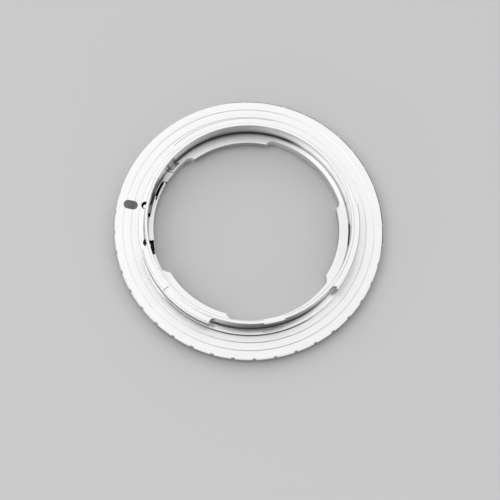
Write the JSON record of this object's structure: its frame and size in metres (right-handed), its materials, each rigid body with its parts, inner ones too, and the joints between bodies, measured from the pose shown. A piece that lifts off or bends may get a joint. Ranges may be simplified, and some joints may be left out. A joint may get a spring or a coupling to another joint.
{
  "type": "lens mount adapter",
  "caption": "Flat metal ring that joins a lens to a camera with another mount: bayonet lugs on each side, a notched flange with an index mark, and a sprung pin that locks the lens.",
  "frame": {"origin": "centre of the lens seat, the flat face of the flange on the lens side", "axes": "+Z along the ring's axis towards the camera; the index mark and the lens lock are on the -X side"},
  "size_m": [0.0654, 0.0654, 0.0087],
  "materials": {
    "ring_plating": "satin",
    "spring_steel": "satin",
    "pin_steel": "polished",
    "index_paint": "matte"
  },
  "bodies": {
    "ring": {"adapter_ring": "ring_plating", "anchor_rivet": "pin_steel", "index_mark": "index_paint"},
    "lock": {"lock_pin": "pin_steel", "lock_spring": "spring_steel"}
  },
  "joints": [
    {"name": "lock_release", "type": "hinge", "parent": "ring", "child": "lock", "pos_m": [-0.02459, -0.00747, 0.00088], "axis": [0.9899, 0.1418, 0], "range_deg": [0, 6.2], "stiffness_Nm_per_rad": 0.1, "springref_deg": -4.76, "deforming": ["lock_spring"]}
  ]
}
